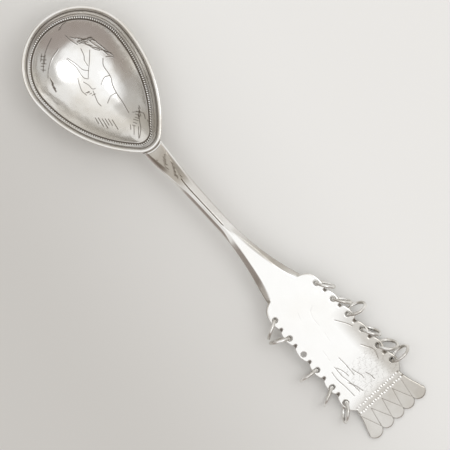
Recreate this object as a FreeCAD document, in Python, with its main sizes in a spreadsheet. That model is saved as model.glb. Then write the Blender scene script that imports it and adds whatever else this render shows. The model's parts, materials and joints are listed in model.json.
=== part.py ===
"""A silver ring spoon: a deep egg-shaped bowl with a round lip, a forged handle that
flares into a scalloped blade with a comb end, and loose wire rings that hang in
holes along both edges of the blade.

Millimetres. The origin is the lowest point of the bowl, on the table. X runs along
the handle towards the comb, Z is up, and Y is to the right of the handle.
"""
import FreeCAD
import Part
import math
import os
import Sketcher

Vector = FreeCAD.Vector

# Every size that can be set by itself. Angles are in degrees.
SIZES = {
    # bowl, measured over its lip
    "bowl_length": 50.1,
    "bowl_width": 35.7,
    "bowl_depth": 10.9,
    "bowl_wall": 0.7,
    "bowl_worn_flat": 5.4,
    "bowl_floor_flat": 1.2,
    "bowl_turn": 1.2,
    "lip_wire": 1.1,
    # handle, with lengths taken from the heel of the bowl
    "handle_length": 110.6,
    "handle_side_shift": 0.9,
    "neck_top_height": 11.1,
    "neck_slope": 0.5,
    "neck_width": 6.8,
    "neck_thickness": 1.6,
    "stem_width": 3.8,
    "stem_thickness": 2.6,
    "flare_width": 12.9,
    "ridge_offset": 0.57,
    "facet_depth": 0.5,
    "side_depth": 1.0,
    "bevel_depth": 0.3,
    "tongue_reach": 6.0,
    "tongue_thickness": 1.2,
    "tail_worn_depth": 0.1,
    # blade
    "blade_width": 21.9,
    "blade_thickness": 0.8,
    "hole_from_edge": 1.4,
    # rings, and the bore of a hole over its ring's wire
    "ring_wire": 1.0,
    "ring_play": 0.7,
    "ring_seam": 0.15,
    # overrun of every cutting shape past what it cuts
    "overrun": 2.0,
}

# Sizes that follow one of those above, each as a share of it.
FOLLOWING_SHARES = {
    "bowl_tip_to_low_point": ("bowl_length", 0.4531),
    "bowl_heel_radius": ("bowl_width", 0.1597),
    # the stem's waist, the flare and the blade lie along the handle
    "stem_waist_start": ("handle_length", 0.2315),
    "stem_waist_length": ("handle_length", 0.0497),
    "flare_length": ("handle_length", 0.2387),
    "blade_start": ("handle_length", 0.5262),
    "blade_length": ("handle_length", 0.377),
    "comb_width": ("blade_width", 1.0137),
    "comb_tooth_pitch": ("comb_width", 0.1919),
    # the rings hang side by side along the blade
    "ring_outer": ("blade_length", 0.1679),
}

# Width of the bowl's sections between the worn flat and the lip, as shares of its width.
BOWL_SECTION_SHARES = (0.34, 0.52, 0.69, 0.83, 0.93, 1.0)

# Places along the blade, as shares of its length from the first notch.
NOTCH_PLACE_SHARES = (0.0, 0.201, 0.356, 0.511, 0.669, 0.824, 1.0)
HOLE_PLACE_SHARES = (0.119, 0.287, 0.441, 0.590, 0.755, 0.903)
# Half widths of the blade at its notches and lobes, as shares of half its widest part.
NOTCH_WIDTH_SHARES = (0.507, 0.836, 0.849, 0.863, 0.877, 0.890, 0.795)
LOBE_WIDTH_SHARES = (0.885, 0.932, 0.951, 0.964, 0.981, 1.0)
# The shoulder of the first lobe: shares of the lobe's length and of its rise.
SHOULDER_MIDDLE_SHARES = (0.10, 0.60)
SHOULDER_END_SHARES = (0.40, 0.955)
# Sides of the comb: where they are widest, and how far they are drawn in halfway.
COMB_WIDEST_SHARE = 0.74
COMB_DRAWN_IN_SHARE = 0.35
# Rounded teeth, and how deep the notches between them are as a share of their pitch.
COMB_TEETH = 5
COMB_NOTCH_SHARE = 0.46

# The facets filed on the top of the stem. Each row is a station: its place as a share
# of the length up to the spur, the half widths of the flat top on the left and on the
# right, and the outer ends of the facets beside it, as shares of the half width there;
# then how much of the ridge's side shift and of the side depth it has.
STEM_STATION_SHARES = (
    (-0.10, 0.72, 0.72, 0.97, 0.97, 0.0, 0.0),
    (0.02, 0.70, 0.70, 0.95, 0.95, 0.0, 0.1),
    (0.12, 0.50, 0.50, 0.90, 0.85, 0.2, 0.4),
    (0.22, 0.12, 0.12, 0.80, 0.60, 0.9, 0.9),
    (0.34, 0.01, 0.01, 0.78, 0.42, 1.0, 1.0),
    (0.56, 0.01, 0.01, 0.78, 0.42, 1.0, 1.0),
    (0.66, 0.34, 0.34, 0.84, 0.72, 0.4, 0.7),
    (0.76, 0.60, 0.60, 0.94, 0.94, 0.0, 0.2),
    (0.88, 0.69, 0.69, 0.97, 0.97, 0.0, 0.0),
    (1.04, 0.73, 0.73, 0.98, 0.98, 0.0, 0.0),
)

# Rings: the swing of each one in its hole away from straight out, positive towards the
# comb, how far it droops, and how far its plane leans over. Degrees, from the neck on.
RING_POSES = {
    "right": {1: (55, 18, 5), 2: (55, 18, 3), 3: (12, 8, 19), 4: (58, 12, 10),
              5: (42, 1, 19), 6: (3, -12, 15)},
    "left": {1: (30, 18, 7), 2: (-27, 18, 3), 4: (-6, 14, 9), 5: (25, -1, 9),
             6: (46, -20, -6)},
}


def make_sheet(doc):
    """The spreadsheet of driving sizes, one plain number to a cell, then the sizes that
    follow them."""
    sheet = doc.addObject("Spreadsheet::Sheet", "Sizes")
    cells = {name: str(value) for name, value in SIZES.items()}
    for name, (leader, share) in FOLLOWING_SHARES.items():
        cells[name] = f"={leader} * {share}"
    cells["hole_bore"] = "=ring_wire + ring_play"
    for row, (name, content) in enumerate(cells.items(), start=1):
        sheet.set(f"A{row}", name)
        sheet.set(f"B{row}", content)
        sheet.setAlias(f"B{row}", name)
    doc.recompute()
    return sheet


def bind(thing, **expressions):
    """Bind properties of a document object to expressions over the sheet's cells."""
    for name, expression in expressions.items():
        thing.setExpression(name, expression)


class BowlForm:
    """The bowl's surface: egg-shaped sections that shrink along a round meridian."""

    half = "(Sizes.bowl_width / 2)"
    sphere = f"(({half} ^ 2 + Sizes.bowl_depth ^ 2) / (2 * Sizes.bowl_depth))"
    tip_centre = f"(Sizes.bowl_tip_to_low_point - {half})"
    heel_centre = "(Sizes.bowl_length - Sizes.bowl_tip_to_low_point - Sizes.bowl_heel_radius)"
    overhang = "((Sizes.lip_wire - Sizes.bowl_wall) / 2)"

    def __init__(self, sheet):
        self.sheet = sheet
        half = sheet.bowl_width / 2
        self.sphere_radius = (half**2 + sheet.bowl_depth**2) / (2 * sheet.bowl_depth)
        self.heel = sheet.bowl_length - sheet.bowl_tip_to_low_point
        self.flat_share = sheet.bowl_worn_flat / sheet.bowl_width

    def fall(self, share):
        """How far below the sphere's centre the section with this share lies."""
        return math.sqrt(self.sphere_radius**2 - (share * self.sheet.bowl_width / 2) ** 2)

    def height(self, share):
        return self.fall(self.flat_share) - self.fall(share)

    def meridian(self, along):
        """Height of the outer surface on the centre line, at a distance along X."""
        return self.height(along / self.heel)

    def fall_expression(self, share):
        return f"sqrt({self.sphere} ^ 2 - ({share} * {self.half}) ^ 2)"

    def height_expression(self, share):
        flat = "(Sizes.bowl_worn_flat / Sizes.bowl_width)"
        return f"({self.fall_expression(flat)} - {self.fall_expression(share)})"


def egg_sketch(doc, form, name, share, inset, height):
    """One closed section: a half circle at the tip, two long side arcs and a heel arc,
    all tangent. The whole outline is scaled by its share and then drawn in by the inset.
    """
    tip_radius = f"({share} * {form.half} - {inset})"
    heel_radius = f"({share} * Sizes.bowl_heel_radius - {inset})"
    tip_place = f"({share} * {form.tip_centre})"
    heel_place = f"({share} * {form.heel_centre})"
    wanted = (tip_radius, heel_radius, tip_place, heel_place)
    tip_r, heel_r, tip_x, heel_x = (float(form.sheet.evalExpression(e)) for e in wanted)
    tip_x = -tip_x

    span = heel_x - tip_x
    side_r = (tip_r**2 + span**2 - heel_r**2) / (2 * (tip_r - heel_r))
    side_y = side_r - tip_r
    turn = math.atan2(side_y, span)

    sketch = doc.addObject("Sketcher::SketchObject", name)
    up = Vector(0, 0, 1)
    tip = Part.Circle(Vector(tip_x, 0, 0), up, tip_r)
    low = Part.Circle(Vector(tip_x, side_y, 0), up, side_r)
    heel = Part.Circle(Vector(heel_x, 0, 0), up, heel_r)
    high = Part.Circle(Vector(tip_x, -side_y, 0), up, side_r)
    quarter = math.pi / 2
    sketch.addGeometry(
        [
            Part.ArcOfCircle(tip, quarter, 3 * quarter),
            Part.ArcOfCircle(low, 3 * quarter, 4 * quarter - turn),
            Part.ArcOfCircle(heel, -turn, turn),
            Part.ArcOfCircle(high, turn, quarter),
        ],
        False,
    )
    start, end, centre, axis = 1, 2, 3, -1
    for arc in range(4):
        sketch.addConstraint(Sketcher.Constraint("Tangent", arc, end, (arc + 1) % 4, start))
    for arc in (0, 2):
        sketch.addConstraint(Sketcher.Constraint("PointOnObject", arc, centre, axis))
    for arc in (1, 3):
        sketch.addConstraint(Sketcher.Constraint("Vertical", 0, centre, arc, centre))
    measured = (
        ("tip_radius", Sketcher.Constraint("Radius", 0, tip_r), tip_radius),
        ("heel_radius", Sketcher.Constraint("Radius", 2, heel_r), heel_radius),
        ("tip_place", Sketcher.Constraint("DistanceX", 0, centre, axis, start, -tip_x), tip_place),
        ("heel_place", Sketcher.Constraint("DistanceX", axis, start, 2, centre, heel_x), heel_place),
    )
    for label, constraint, expression in measured:
        index = sketch.addConstraint(constraint)
        sketch.renameConstraint(index, label)
        sketch.setExpression(f"Constraints.{label}", expression)
    sketch.Placement = FreeCAD.Placement(Vector(), FreeCAD.Rotation(up, -form.sheet.bowl_turn))
    sketch.setExpression(".Placement.Base.z", height)
    return sketch


def loft(doc, name, sections):
    result = doc.addObject("Part::Loft", name)
    result.Sections = sections
    result.Solid = True
    return result


def cut(doc, name, base, tool):
    result = doc.addObject("Part::Cut", name)
    result.Base, result.Tool = base, tool
    return result


def make_bowl(doc, form):
    """The bowl, and the shapes of it that trim the handle where the two are soldered."""
    flat = "(Sizes.bowl_worn_flat / Sizes.bowl_width)"
    floor = "(Sizes.bowl_floor_flat / Sizes.bowl_width)"
    outside = []
    for n, share in enumerate((flat, *BOWL_SECTION_SHARES)):
        inset = f"({share} * {form.overhang})"
        height = form.height_expression(share)
        outside.append(egg_sketch(doc, form, f"outside_{n}", share, inset, height))
    inside = []
    for n, share in enumerate((floor, *BOWL_SECTION_SHARES)):
        lean = f"({share} * {form.half} / {form.sphere})"
        inset = f"({share} * {form.overhang} + Sizes.bowl_wall * {lean})"
        height = f"({form.height_expression(share)} + Sizes.bowl_wall * sqrt(1 - {lean} ^ 2))"
        inside.append(egg_sketch(doc, form, f"inside_{n}", share, inset, height))
    solid = loft(doc, "bowl_outside", outside)
    hollow = loft(doc, "bowl_hollow", inside)
    shell = cut(doc, "bowl_shell", solid, hollow)

    rim_height = form.height_expression(1)
    path = egg_sketch(doc, form, "lip_path", 1, "Sizes.lip_wire / 2", rim_height)
    doc.recompute()
    start = path.Shape.Edges[0]
    section = doc.addObject("Part::Circle", "lip_section")
    bind(section, Radius="Sizes.lip_wire / 2")
    across = FreeCAD.Rotation(Vector(0, 0, 1), start.tangentAt(start.FirstParameter))
    section.Placement = FreeCAD.Placement(start.valueAt(start.FirstParameter), across)
    lip = doc.addObject("Part::Sweep", "bowl_lip")
    lip.Sections = [section]
    lip.Spine = (path, [f"Edge{n}" for n in range(1, 5)])
    lip.Solid = True

    bowl = doc.addObject("Part::Fuse", "bowl")
    bowl.Base, bowl.Tool = shell, lip

    # the straight-sided space above the lip's middle, which the handle stays out of
    mouth = doc.addObject("Part::Extrusion", "bowl_mouth")
    mouth.Base = egg_sketch(doc, form, "mouth_outline", 1, "0", rim_height)
    mouth.DirMode, mouth.Dir, mouth.Solid = "Custom", Vector(0, 0, 1), True
    bind(mouth, LengthFwd="Sizes.overrun")
    return bowl, (solid, lip, mouth)


class HandleForm:
    """The handle's long curve, its outline and its facets, in its own centre line."""

    def __init__(self, sheet, bowl):
        self.sheet = sheet
        self.bowl = bowl
        self.heel = bowl.heel
        self.tail = self.heel + sheet.handle_length
        # the top is one arc from the neck, nearly level, to the comb's edge
        slope = math.radians(sheet.neck_slope)
        run = sheet.handle_length
        drop = sheet.neck_top_height - sheet.blade_thickness + sheet.tail_worn_depth
        reach = 2 * (drop * math.cos(slope) - run * math.sin(slope))
        self.radius = (run**2 + drop**2) / reach
        self.middle_x = self.heel - self.radius * math.sin(slope)
        self.middle_z = sheet.neck_top_height - self.radius * math.cos(slope)

    def slope(self, x):
        return math.asin((x - self.middle_x) / self.radius)

    def normal(self, x):
        return Vector(math.sin(self.slope(x)), 0, math.cos(self.slope(x)))

    def top(self, x, depth=0.0):
        """The point of the top arc above x, or that far below it along the normal."""
        arc = Vector(x, 0, self.middle_z + self.radius * math.cos(self.slope(x)))
        return arc - self.normal(x) * depth

    def half_width(self, x):
        """Half the width of the stem, from the neck to the spur."""
        sheet = self.sheet
        waist_start = self.heel + sheet.stem_waist_start
        waist_end = waist_start + sheet.stem_waist_length
        if x < waist_start:
            radius = self.neck_radius()
            away = waist_start - x
        elif x > waist_end:
            radius = self.flare_radius()
            away = x - waist_end
        else:
            return sheet.stem_width / 2
        return sheet.stem_width / 2 + radius - math.sqrt(radius**2 - away**2)

    def neck_radius(self):
        """Radius of the neck's side."""
        rise = (self.sheet.neck_width - self.sheet.stem_width) / 2
        return (self.sheet.stem_waist_start**2 + rise**2) / (2 * rise)

    def flare_radius(self):
        """Radius of the flare's side."""
        rise = (self.sheet.flare_width - self.sheet.stem_width) / 2
        return (self.sheet.flare_length**2 + rise**2) / (2 * rise)

    def spur(self):
        """The end of the flare, just before the blade."""
        sheet = self.sheet
        return self.heel + sheet.stem_waist_start + sheet.stem_waist_length + sheet.flare_length

    def blade_place(self, share):
        return self.heel + self.sheet.blade_start + share * self.sheet.blade_length

    def hole(self, number):
        """Place along X and distance from the centre line of a hole, counted from 1."""
        lobe = LOBE_WIDTH_SHARES[number - 1] * self.sheet.blade_width / 2
        return self.blade_place(HOLE_PLACE_SHARES[number - 1]), lobe - self.sheet.hole_from_edge


def arc(first, middle, last):
    return Part.Arc(Vector(*first, 0), Vector(*middle, 0), Vector(*last, 0)).toShape()


def line(first, last):
    return Part.LineSegment(Vector(*first, 0), Vector(*last, 0)).toShape()


def right_side_of_outline(form):
    """Edges of the handle's outline on its right, from the tongue's end to the comb."""
    sheet = form.sheet
    tongue_end = form.heel - sheet.tongue_reach
    neck = (form.heel, sheet.neck_width / 2)
    tongue_round = sheet.neck_width / 2
    tongue_side = (tongue_end + tongue_round, sheet.neck_width / 2)
    corner = tongue_round * (1 - math.sqrt(0.5))
    edges = [
        arc((tongue_end, 0), (tongue_end + corner, tongue_round - corner), tongue_side),
        line(tongue_side, neck),
    ]
    waist_start = (form.heel + sheet.stem_waist_start, sheet.stem_width / 2)
    waist_end = (waist_start[0] + sheet.stem_waist_length, sheet.stem_width / 2)
    spur = (form.spur(), sheet.flare_width / 2)
    for first, last in ((neck, waist_start), (waist_start, waist_end), (waist_end, spur)):
        middle = (first[0] + last[0]) / 2
        if first[1] == last[1]:
            edges.append(line(first, last))
        else:
            edges.append(arc(first, (middle, form.half_width(middle)), last))

    widest = sheet.blade_width / 2
    notches = [
        (form.blade_place(place), width * widest)
        for place, width in zip(NOTCH_PLACE_SHARES, NOTCH_WIDTH_SHARES)
    ]
    edges.append(line(spur, notches[0]))
    for n, (first, last) in enumerate(zip(notches, notches[1:])):
        crown = (form.hole(n + 1)[0], LOBE_WIDTH_SHARES[n] * widest)
        if n == 0:
            run, rise = last[0] - first[0], crown[1] - first[1]
            middle, end = (
                (first[0] + along * run, first[1] + up * rise)
                for along, up in (SHOULDER_MIDDLE_SHARES, SHOULDER_END_SHARES)
            )
            edges.append(arc(first, middle, end))
            first = end
            crown = ((first[0] + last[0]) / 2, crown[1])
        edges.append(arc(first, crown, last))

    base = notches[-1]
    comb_run = form.tail - base[0]
    broadest = (base[0] + COMB_WIDEST_SHARE * comb_run, sheet.comb_width / 2)
    drawn = COMB_DRAWN_IN_SHARE * (broadest[1] - base[1])
    edges.append(arc(base, ((base[0] + broadest[0]) / 2, base[1] + drawn), broadest))
    tooth = sheet.comb_tooth_pitch
    notch_x = form.tail - COMB_NOTCH_SHARE * tooth
    outer_notch = (notch_x, (COMB_TEETH / 2 - 1) * tooth)
    edges.append(arc(broadest, (form.tail, (broadest[1] + outer_notch[1]) / 2), outer_notch))
    return edges, outer_notch


def handle_outline(form):
    """The whole outline seen from above, as one face."""
    right, outer_notch = right_side_of_outline(form)
    left = [edge.mirror(Vector(), Vector(0, 1, 0)) for edge in right]
    pitch = form.sheet.comb_tooth_pitch
    teeth = []
    for tooth in range(COMB_TEETH - 2):
        upper = outer_notch[1] - tooth * pitch
        first, last = (outer_notch[0], upper), (outer_notch[0], upper - pitch)
        teeth.append(arc(first, (form.tail, upper - pitch / 2), last))
    edges = Part.sortEdges(right + teeth + left)[0]
    return Part.Face(Part.Wire(edges))


def handle_profile(form):
    """The handle from the side, as one face: the top arc, the blade's underside along
    it, a thicker stem, and a tongue that runs under the bowl's heel."""
    sheet, bowl = form.sheet, form.bowl
    start = form.heel - sheet.tongue_reach
    past = form.tail + sheet.overrun
    blade = form.heel + sheet.blade_start
    stem = form.heel + sheet.stem_waist_start
    neck = form.heel + sheet.neck_width / 2
    # the tongue thins out and ends within the thickness of the bowl's wall
    halfway = form.heel - sheet.tongue_reach / 3
    under_heel = Vector(halfway, 0, bowl.meridian(halfway))
    behind = Vector(start, 0, bowl.meridian(start) + sheet.bowl_wall / 2)
    away = (under_heel - behind).normalize().cross(Vector(0, 1, 0)) * -1
    below = [
        form.top(blade, sheet.blade_thickness),
        form.top(stem, sheet.stem_thickness),
        form.top(neck, sheet.neck_thickness),
        under_heel - away * sheet.tongue_thickness,
        behind,
    ]
    underside = Part.BSplineCurve()
    along = form.normal(blade).cross(Vector(0, 1, 0))
    underside.interpolate(
        Points=below,
        Tangents=[along, Vector(), Vector(), Vector(), Vector()],
        TangentFlags=[True, False, False, False, False],
    )
    middle = (start + past) / 2
    blade_middle = (blade + past) / 2
    blade_end = form.top(past, sheet.blade_thickness)
    edges = [
        Part.Arc(form.top(start), form.top(middle), form.top(past)).toShape(),
        Part.LineSegment(form.top(past), blade_end).toShape(),
        Part.Arc(blade_end, form.top(blade_middle, sheet.blade_thickness), below[0]).toShape(),
        underside.toShape(),
        Part.LineSegment(behind, form.top(start)).toShape(),
    ]
    return Part.Face(Part.Wire(edges))


def facet_cutter(form, side):
    """What is filed off one side of the stem's top: a gently sloping facet beside the
    ridge or flat, and a steeper one outside it. The side is 1 on the right, -1 on the left.
    """
    sheet = form.sheet
    overrun = sheet.overrun
    spur = form.spur() - form.heel
    wires = []
    for station in STEM_STATION_SHARES:
        place, left_flat, right_flat, left_end, right_end, shift, steep = station
        x = form.heel + place * spur
        half = form.half_width(x)
        flat, end = (right_flat, right_end) if side > 0 else (left_flat, left_end)
        ridge = -shift * sheet.ridge_offset
        inner = ridge + side * flat * (half + side * -ridge)
        outer = side * half
        joint = side * end * half
        shallow = sheet.bevel_depth + shift * (sheet.facet_depth - sheet.bevel_depth)
        deep = shallow + steep * sheet.side_depth + (1 - end) * sheet.bevel_depth
        rise = shallow / abs(joint - inner)
        fall = (deep - shallow) / abs(outer - joint)
        points = (
            (inner - side * overrun, -rise * overrun),
            (joint, shallow),
            (outer + side * overrun, deep + fall * overrun),
            (outer + side * overrun, -rise * overrun),
        )
        corners = [form.top(x, depth) + Vector(0, y, 0) for y, depth in points]
        wires.append(Part.makePolygon([*corners, corners[0]]))
    return Part.makeLoft(wires, True, False)


def fixed_shape(doc, name, shape):
    feature = doc.addObject("Part::Feature", name)
    feature.Shape = shape
    return feature


def make_handle(doc, form, trimmers):
    """Outline and side view crossed, then facets, holes, the bowl's seat and the worn
    undersides of the comb's teeth cut from it."""
    sheet = form.sheet
    outline = doc.addObject("Part::Extrusion", "handle_plan")
    outline.Base = fixed_shape(doc, "handle_outline", handle_outline(form))
    outline.DirMode, outline.Dir, outline.Solid = "Custom", Vector(0, 0, 1), True
    bind(outline, LengthFwd="Sizes.neck_top_height + Sizes.overrun", LengthRev="Sizes.overrun")
    profile = doc.addObject("Part::Extrusion", "handle_side")
    profile.Base = fixed_shape(doc, "handle_profile", handle_profile(form))
    profile.DirMode, profile.Dir, profile.Solid = "Custom", Vector(0, 1, 0), True
    bind(profile, LengthFwd="Sizes.comb_width", LengthRev="Sizes.comb_width")
    blank = doc.addObject("Part::Common", "handle_blank")
    blank.Base, blank.Tool = outline, profile

    doc.recompute()
    facets = [facet_cutter(form, side) for side in (1, -1)]
    faceted = fixed_shape(doc, "handle_faceted", blank.Shape.cut(facets))

    drills = []
    for side in (1, -1):
        for number in range(1, len(HOLE_PLACE_SHARES) + 1):
            x, y = form.hole(number)
            drill = doc.addObject("Part::Cylinder", f"drill_{number}")
            bind(drill, Radius="Sizes.hole_bore / 2", Height="2 * Sizes.overrun")
            low_end = form.top(x, sheet.overrun) + Vector(0, side * y, 0)
            tilt = FreeCAD.Rotation(Vector(0, 0, 1), form.normal(x))
            drill.Placement = FreeCAD.Placement(low_end, tilt)
            drills.append(drill)
    holes = doc.addObject("Part::Compound", "holes")
    holes.Links = drills
    drilled = cut(doc, "handle_drilled", faceted, holes)
    bind(drilled, **{".Placement.Base.y": "-Sizes.handle_side_shift"})

    table = doc.addObject("Part::Box", "table")
    table.Placement.Base = Vector(form.heel, -sheet.comb_width, -sheet.overrun)
    bind(
        table,
        Length="Sizes.handle_length + Sizes.overrun",
        Width="2 * Sizes.comb_width",
        Height="Sizes.overrun",
    )
    seat = doc.addObject("Part::MultiFuse", "handle_trim")
    seat.Shapes = [*trimmers, table]
    return cut(doc, "handle", drilled, seat)


def ring_frame(form, side, number, swing, droop, lean):
    """A ring's centre, the way from its hole to that centre, and its plane's normal."""
    sheet = form.sheet
    x, y = form.hole(number)
    hand = 1 if side == "right" else -1
    hole = form.top(x, sheet.blade_thickness / 2)
    hole += Vector(0, hand * y - sheet.handle_side_shift, 0)
    up = form.normal(x)
    out = Vector(0, hand, 0)
    to_comb = Vector(up.z, 0, -up.x)
    swing, droop, lean = (math.radians(angle) for angle in (swing, droop, lean))
    level = out * math.cos(swing) + to_comb * math.sin(swing)
    away = level * math.cos(droop) - up * math.sin(droop)
    through = up * math.cos(droop) + level * math.sin(droop)
    flat = away.cross(through)
    plane = flat * math.cos(lean) - through * math.sin(lean)
    mean_radius = (sheet.ring_outer - sheet.ring_wire) / 2
    return hole + away * mean_radius, away, plane


def make_ring(doc, form, side, number, pose):
    """A wire ring, bent round with a narrow seam at the far side from its hole."""
    centre, away, plane = ring_frame(form, side, number, *pose)
    mean_radius = "((Sizes.ring_outer - Sizes.ring_wire) / 2)"
    ring = doc.addObject("Part::Torus", f"ring_{side}_{number}")
    bind(
        ring,
        Radius1=mean_radius,
        Radius2="Sizes.ring_wire / 2",
        Angle3=f"360 - Sizes.ring_seam / {mean_radius} * 180 / pi",
    )
    turn = FreeCAD.Rotation(away, plane.cross(away), plane, "ZXY")
    ring.Placement = FreeCAD.Placement(centre, turn)
    return ring


def check(doc, parts):
    """Stop if any object failed, or a sub-part has no sound shape."""
    for thing in doc.Objects:
        if {"Invalid", "Error"} & set(thing.State):
            raise RuntimeError(f"{thing.Name} failed: {thing.State}")
    for part in parts:
        if part.Shape.isNull() or not part.Shape.isValid():
            raise RuntimeError(f"{part.Label} has no valid shape")
        if len(part.Shape.Solids) != 1:
            raise RuntimeError(f"{part.Label} has {len(part.Shape.Solids)} solids")


def build():
    doc = FreeCAD.newDocument("ring_spoon")
    sheet = make_sheet(doc)
    bowl_form = BowlForm(sheet)
    handle_form = HandleForm(sheet, bowl_form)
    bowl, trimmers = make_bowl(doc, bowl_form)
    handle = make_handle(doc, handle_form, trimmers)
    rings = [
        make_ring(doc, handle_form, side, number, pose)
        for side, poses in RING_POSES.items()
        for number, pose in poses.items()
    ]
    parts = [bowl, handle, *rings]
    for part in parts:
        part.Label = part.Name
    doc.recompute()
    check(doc, parts)
    return doc, parts, handle_form


def main():
    _, parts, _ = build()
    os.makedirs("parts", exist_ok=True)
    for part in parts:
        part.Shape.exportStep(os.path.join("parts", f"{part.Label}.step"))
        box = part.Shape.BoundBox
        print(f"{part.Label}: {part.Shape.Volume:.2f} mm3, z {box.ZMin:.2f} to {box.ZMax:.2f}")


main()
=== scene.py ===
"""The dressing of the silver ring spoon: an engraved bowl with a round lip, a forged
handle with filed facets, a scalloped and engraved blade, and wire rings in its holes.

Shapes are worked out in millimetres in the spoon's own frame: X along the handle
towards the comb, Y to its right, Z up from the table. They become metres in finish_piece.
"""
import bmesh
import bpy
import json
import math
import numpy as np
from mathutils import Matrix, Vector


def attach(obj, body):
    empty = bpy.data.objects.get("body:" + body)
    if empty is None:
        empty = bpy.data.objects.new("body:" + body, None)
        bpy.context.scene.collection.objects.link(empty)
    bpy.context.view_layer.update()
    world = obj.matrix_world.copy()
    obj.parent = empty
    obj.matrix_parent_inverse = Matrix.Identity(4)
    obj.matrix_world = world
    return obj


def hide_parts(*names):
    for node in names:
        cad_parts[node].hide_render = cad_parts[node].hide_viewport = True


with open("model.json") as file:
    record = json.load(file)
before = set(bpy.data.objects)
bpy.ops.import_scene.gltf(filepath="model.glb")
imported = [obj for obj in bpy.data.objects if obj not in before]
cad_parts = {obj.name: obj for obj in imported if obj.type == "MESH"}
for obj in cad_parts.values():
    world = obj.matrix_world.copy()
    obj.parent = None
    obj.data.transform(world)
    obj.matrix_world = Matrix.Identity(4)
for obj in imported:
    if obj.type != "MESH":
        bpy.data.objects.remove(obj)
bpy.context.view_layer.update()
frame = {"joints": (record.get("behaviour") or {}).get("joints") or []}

MM = 0.001

# bowl, as the solid has it, but with the fuller heel that the lip's bright line shows
TIP_X, TIP_R = -4.85, 17.85
HEEL_X, HEEL_R = 21.8, 6.3
LIP_END = HEEL_X + HEEL_R
SIDE_R = (TIP_R**2 + (HEEL_X - TIP_X) ** 2 - HEEL_R**2) / (2 * (TIP_R - HEEL_R))
SIDE_Y = SIDE_R - TIP_R
SIDE_TURN = math.atan2(SIDE_Y, HEEL_X - TIP_X)
BOWL_TURN = math.radians(-1.2)
BOWL_DEPTH = 10.9
ROUND_R = (TIP_R**2 + BOWL_DEPTH**2) / (2 * BOWL_DEPTH)
WORN_FLAT_R = 2.7
WALL = 0.7
LIP_R = 0.55
OVERHANG = LIP_R - WALL / 2

# handle
HEEL, TAIL = 27.4, 138.0
SIDE_SHIFT = -0.9
ARC_R, ARC_X, ARC_Z = 654.0, 21.69, -642.9
BLADE_START, BLADE_LENGTH = 85.6, 41.7
HALF_BLADE = 10.95
NOTCH_PLACES = (0.0, 0.201, 0.356, 0.511, 0.669, 0.824, 1.0)
NOTCH_WIDTHS = (0.507, 0.836, 0.849, 0.863, 0.877, 0.890, 0.795)
HOLE_PLACES = (0.119, 0.287, 0.441, 0.590, 0.755, 0.903)
LOBE_WIDTHS = (0.885, 0.932, 0.951, 0.964, 0.981, 1.0)
HOLE_R, HOLE_FROM_EDGE = 0.85, 1.4
TOOTH = 4.26


# curves and lines

def smooth_through(x, places, values):
    """A smooth curve through (place, value) pairs, read at x."""
    places, values = np.asarray(places, float), np.asarray(values, float)
    steps = np.diff(values) / np.diff(places)
    slopes = np.concatenate(([steps[0]], (steps[1:] + steps[:-1]) / 2, [steps[-1]]))
    # a level stretch stays level, and no bump grows between two values
    for n, step in enumerate(steps):
        if step == 0:
            slopes[n] = slopes[n + 1] = 0
    x = np.clip(x, places[0], places[-1])
    n = np.clip(np.searchsorted(places, x) - 1, 0, len(places) - 2)
    run = places[n + 1] - places[n]
    t = (x - places[n]) / run
    return (
        (2 * t**3 - 3 * t**2 + 1) * values[n]
        + (t**3 - 2 * t**2 + t) * run * slopes[n]
        + (3 * t**2 - 2 * t**3) * values[n + 1]
        + (t**3 - t**2) * run * slopes[n + 1]
    )


def circle_through(first, middle, last):
    """Centre and radius of the circle through three points."""
    (ax, ay), (bx, by), (cx, cy) = first, middle, last
    d = 2 * (ax * (by - cy) + bx * (cy - ay) + cx * (ay - by))
    a, b, c = ax**2 + ay**2, bx**2 + by**2, cx**2 + cy**2
    x = (a * (by - cy) + b * (cy - ay) + c * (ay - by)) / d
    y = (a * (cx - bx) + b * (ax - cx) + c * (bx - ax)) / d
    return x, y, math.hypot(ax - x, ay - y)


def curved(line, steps=5):
    """A stroke of the graver through its points, as short straight runs."""
    points = [np.array(p, float) for p in line]
    if len(points) < 3:
        return points
    ends = [2 * points[0] - points[1], *points, 2 * points[-1] - points[-2]]
    out = []
    for a, b, c, d in zip(ends, ends[1:], ends[2:], ends[3:]):
        for t in np.linspace(0, 1, steps, endpoint=False):
            out.append(
                0.5 * (2 * b + (c - a) * t + (2 * a - 5 * b + 4 * c - d) * t**2
                       + (3 * b - a - 3 * c + d) * t**3)
            )
    return [*out, points[-1]]


def nearness(points, lines, half_width):
    """How near each point is to an engraved line: 1 on it, 0 from half its width on."""
    near = np.zeros(len(points))
    for line in lines:
        for start, end in zip(line, line[1:]):
            low = np.minimum(start, end) - half_width
            high = np.maximum(start, end) + half_width
            inside = np.nonzero(((points > low) & (points < high)).all(axis=1))[0]
            if len(inside) == 0:
                continue
            run = end - start
            from_start = points[inside] - start
            along = np.clip(from_start @ run / (run @ run), 0, 1)
            gap = np.linalg.norm(from_start - along[:, None] * run, axis=1)
            near[inside] = np.maximum(near[inside], 1 - gap / half_width)
    return near.clip(0)


# meshes

def read_points(bm):
    return np.array([v.co for v in bm.verts], float).reshape(-1, 3)


def write_points(bm, points):
    for vert, point in zip(bm.verts, points):
        vert.co = point


def write_marks(bm, name, values):
    layer = bm.verts.layers.float.get(name) or bm.verts.layers.float.new(name)
    for vert, value in zip(bm.verts, values):
        vert[layer] = value


def read_marks(bm, name):
    layer = bm.verts.layers.float[name]
    return np.array([v[layer] for v in bm.verts])


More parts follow.
